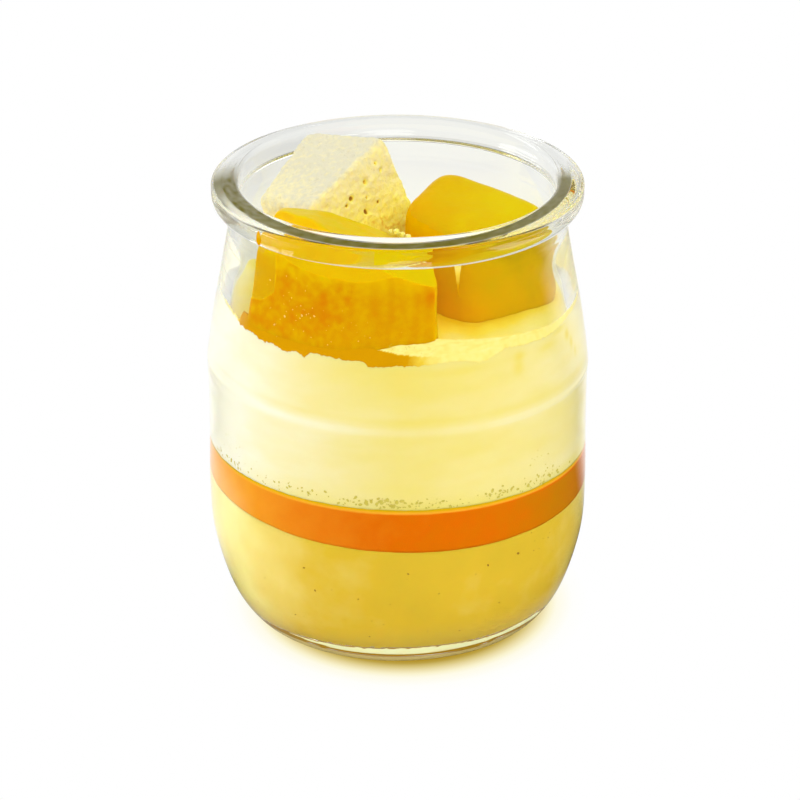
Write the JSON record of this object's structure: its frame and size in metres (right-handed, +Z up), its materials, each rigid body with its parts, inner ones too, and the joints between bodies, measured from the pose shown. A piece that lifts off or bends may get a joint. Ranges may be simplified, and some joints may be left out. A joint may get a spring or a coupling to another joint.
{
  "type": "panna cotta in a glass jar",
  "caption": "Layered panna cotta dessert in a small rounded glass jar: custard, fruit coulis and cream, topped with mango chunks and a cube of sponge cake.",
  "frame": {"origin": "middle of the ring that the jar stands on, at the height of the table", "axes": "+Z up along the jar's axis, +X to the right, -Y towards the front, where the larger mango chunk leans on the glass"},
  "size_m": [0.0672, 0.0672, 0.0851],
  "materials": {
    "glass": "clear polished glass with a faint green tint",
    "custard": "smooth pale yellow set custard, slightly translucent",
    "coulis": "glossy orange fruit coulis",
    "cream": "soft ivory cream with fine bubbles",
    "mango": "wet, translucent yellow-orange mango flesh",
    "sponge": "dry, porous pale sponge cake"
  },
  "bodies": {
    "root": {"jar": "glass", "custard": "custard", "coulis": "coulis", "cream": "cream", "mango_front": "mango", "mango_right": "mango", "sponge_cube": "sponge"}
  },
  "joints": []
}
